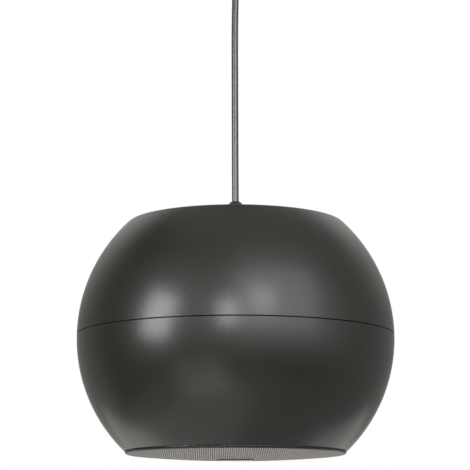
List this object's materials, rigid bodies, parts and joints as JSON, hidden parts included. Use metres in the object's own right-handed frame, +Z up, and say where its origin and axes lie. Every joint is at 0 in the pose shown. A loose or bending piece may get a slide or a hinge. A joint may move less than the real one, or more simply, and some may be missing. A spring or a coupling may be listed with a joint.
{
  "type": "pendant speaker",
  "caption": "Ball-shaped pendant loudspeaker that hangs by a cord from a ceiling canopy, with a flat top, a gland and a perforated grille below.",
  "frame": {"origin": "centre of the two ceiling bolt holes, on the ceiling face of the bracket", "axes": "+Z up along the cord into the ceiling, +X along the line of the two bolt holes"},
  "size_m": [0.31, 0.31, 0.5092],
  "materials": {
    "shell_plastic": "satin moulded",
    "grille_steel": "satin powder coat",
    "badge_metal": "satin",
    "gasket_foam": "matt",
    "baffle_plastic": "matt moulded",
    "zinc_steel": "zinc plated",
    "screw_steel": "black zinc",
    "basket_paint": "satin",
    "ferrite": "matt",
    "copper_wire": "enamelled",
    "tag_fibre": "matt",
    "tag_brass": "tinned",
    "cone_paper": "matt",
    "surround_rubber": "matt",
    "spider_cloth": "matt",
    "tweeter_plastic": "satin",
    "dome_silk": "satin",
    "selector_plastic": "matt",
    "knob_plastic": "matt",
    "gland_nylon": "satin",
    "core_steel": "varnished",
    "winding_tape": "satin",
    "terminal_plastic": "satin",
    "board_laminate": "satin",
    "capacitor_film": "gloss",
    "wadding_fibre": "matt",
    "cord_jacket": "satin"
  },
  "bodies": {
    "hanging_unit": {"upper_shell": "shell_plastic", "lower_shell": "shell_plastic", "ceiling_canopy": "shell_plastic", "grille": "grille_steel", "badge_plate": "badge_metal", "baffle_gasket": "gasket_foam", "gland_washer": "gasket_foam", "gland_seal": "gasket_foam", "baffle": "baffle_plastic", "load_plate": "zinc_steel", "clamp_bracket": "zinc_steel", "clamp_saddle": "zinc_steel", "ceiling_bracket": "zinc_steel", "tweeter_post": "zinc_steel", "motor_front_plate": "zinc_steel", "motor_back_plate": "zinc_steel", "transformer_strap": "zinc_steel", "cord_collar": "zinc_steel", "baffle_screws": "screw_steel", "woofer_screws": "screw_steel", "plate_screws": "screw_steel", "clamp_screws": "screw_steel", "canopy_screws": "screw_steel", "woofer_basket": "basket_paint", "motor_magnet": "ferrite", "crossover_inductor": "copper_wire", "tag_strip": "tag_fibre", "solder_tags": "tag_brass", "tweeter_housing": "tweeter_plastic", "tweeter_guard": "tweeter_plastic", "tweeter_dome": "dome_silk", "selector_switch": "selector_plastic", "gland_body": "gland_nylon", "gland_nut": "gland_nylon", "gland_lock_nut": "gland_nylon", "cord_grip": "gland_nylon", "transformer_core": "core_steel", "transformer_winding": "winding_tape", "terminal_block": "terminal_plastic", "crossover_board": "board_laminate", "crossover_capacitor": "capacitor_film", "wadding": "wadding_fibre", "cord": "cord_jacket"},
    "cone_unit": {"voice_coil": "copper_wire", "woofer_cone": "cone_paper", "woofer_surround": "surround_rubber", "woofer_spider": "spider_cloth"},
    "selector": {"selector_knob": "knob_plastic"}
  },
  "joints": [
    {"name": "cone_travel", "type": "slide", "parent": "hanging_unit", "child": "cone_unit", "axis": [0, 0, 1], "range_m": [-0.004, 0.004], "stiffness_N_per_m": 1500, "deforming": ["woofer_surround", "woofer_spider"]},
    {"name": "tap_select", "type": "hinge", "parent": "hanging_unit", "child": "selector", "pos_m": [0, -0.0892, -0.494], "axis": [0, 0, 1], "range_deg": [0, 180]}
  ]
}
